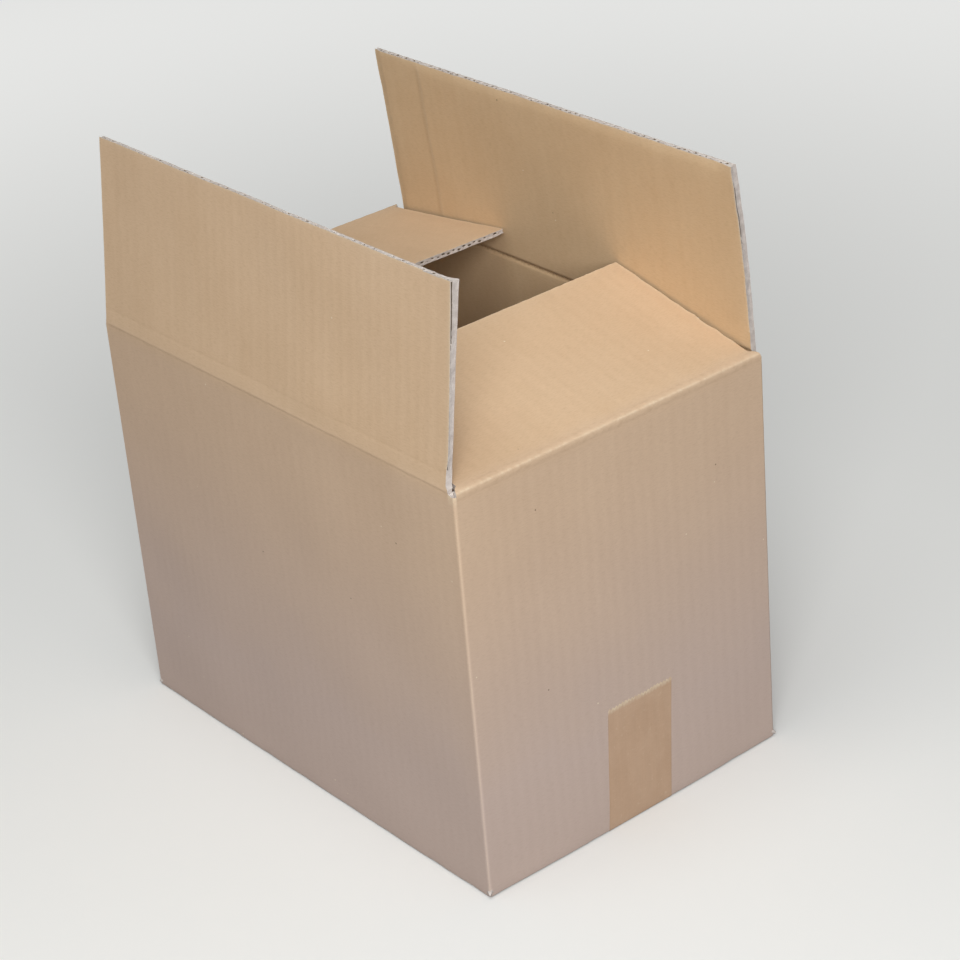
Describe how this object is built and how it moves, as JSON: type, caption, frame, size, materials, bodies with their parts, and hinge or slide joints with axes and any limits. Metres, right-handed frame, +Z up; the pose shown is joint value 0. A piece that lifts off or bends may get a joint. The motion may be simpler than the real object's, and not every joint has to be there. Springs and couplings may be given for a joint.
{
  "type": "open cardboard box",
  "caption": "Open corrugated cardboard box with its bottom taped shut and hinged top flaps standing open.",
  "frame": {"origin": "middle of the underside, on the floor, under the seam of the two long bottom flaps", "axes": "+X along the long walls towards the short wall whose tape is seen in the picture, +Y across to the rear long wall, +Z up through the opening"},
  "size_m": [0.3224, 0.2224, 0.3615],
  "materials": {
    "kraft_board": "matte",
    "packing_tape": "satin"
  },
  "bodies": {
    "carton": {"carton_body": "kraft_board", "bottom_tape": "packing_tape"},
    "front_flap": {"front_outer_flap": "kraft_board"},
    "rear_flap": {"rear_outer_flap": "kraft_board"},
    "right_flap": {"right_inner_flap": "kraft_board"},
    "left_flap": {"left_inner_flap": "kraft_board"}
  },
  "joints": [
    {"name": "front_flap_fold", "type": "hinge", "parent": "carton", "child": "front_flap", "pos_m": [0, -0.11, 0.25], "axis": [1, 0, 0], "range_deg": [0, 172]},
    {"name": "rear_flap_fold", "type": "hinge", "parent": "carton", "child": "rear_flap", "pos_m": [0, 0.11, 0.25], "axis": [-1, 0, 0], "range_deg": [0, 172]},
    {"name": "right_flap_fold", "type": "hinge", "parent": "carton", "child": "right_flap", "pos_m": [0.156, 0, 0.24682], "axis": [0, -1, 0], "range_deg": [0, 92]},
    {"name": "left_flap_fold", "type": "hinge", "parent": "carton", "child": "left_flap", "pos_m": [-0.156, 0, 0.25099], "axis": [0, 1, 0], "range_deg": [0, 86]}
  ]
}
